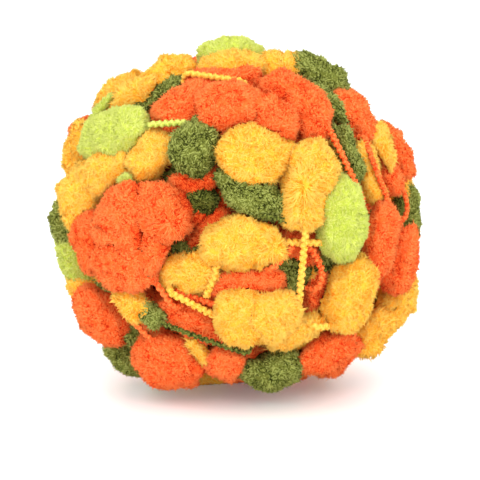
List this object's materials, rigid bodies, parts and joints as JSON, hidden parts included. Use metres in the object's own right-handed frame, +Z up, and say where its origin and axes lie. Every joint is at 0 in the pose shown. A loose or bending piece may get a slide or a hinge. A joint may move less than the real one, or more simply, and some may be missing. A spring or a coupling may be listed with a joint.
{
  "type": "pom pom yarn ball",
  "caption": "Wound ball of pom pom yarn: plush pompoms on a thin crimped cord, in orange, yellow, olive and lime.",
  "frame": {"origin": "on the surface that the ball rests on, under the middle of the ball", "axes": "+Z up, -Y towards the side that the picture shows, +X to the right of that view"},
  "size_m": [0.1903, 0.193, 0.1765],
  "materials": {
    "orange_pile": "bright orange plush pile, matt with a soft sheen",
    "yellow_pile": "golden yellow plush pile, matt with a soft sheen",
    "olive_pile": "olive green plush pile, matt with a soft sheen",
    "lime_pile": "lime green plush pile, matt with a soft sheen"
  },
  "bodies": {
    "root": {"yarn_ball": "orange_pile"}
  },
  "joints": []
}
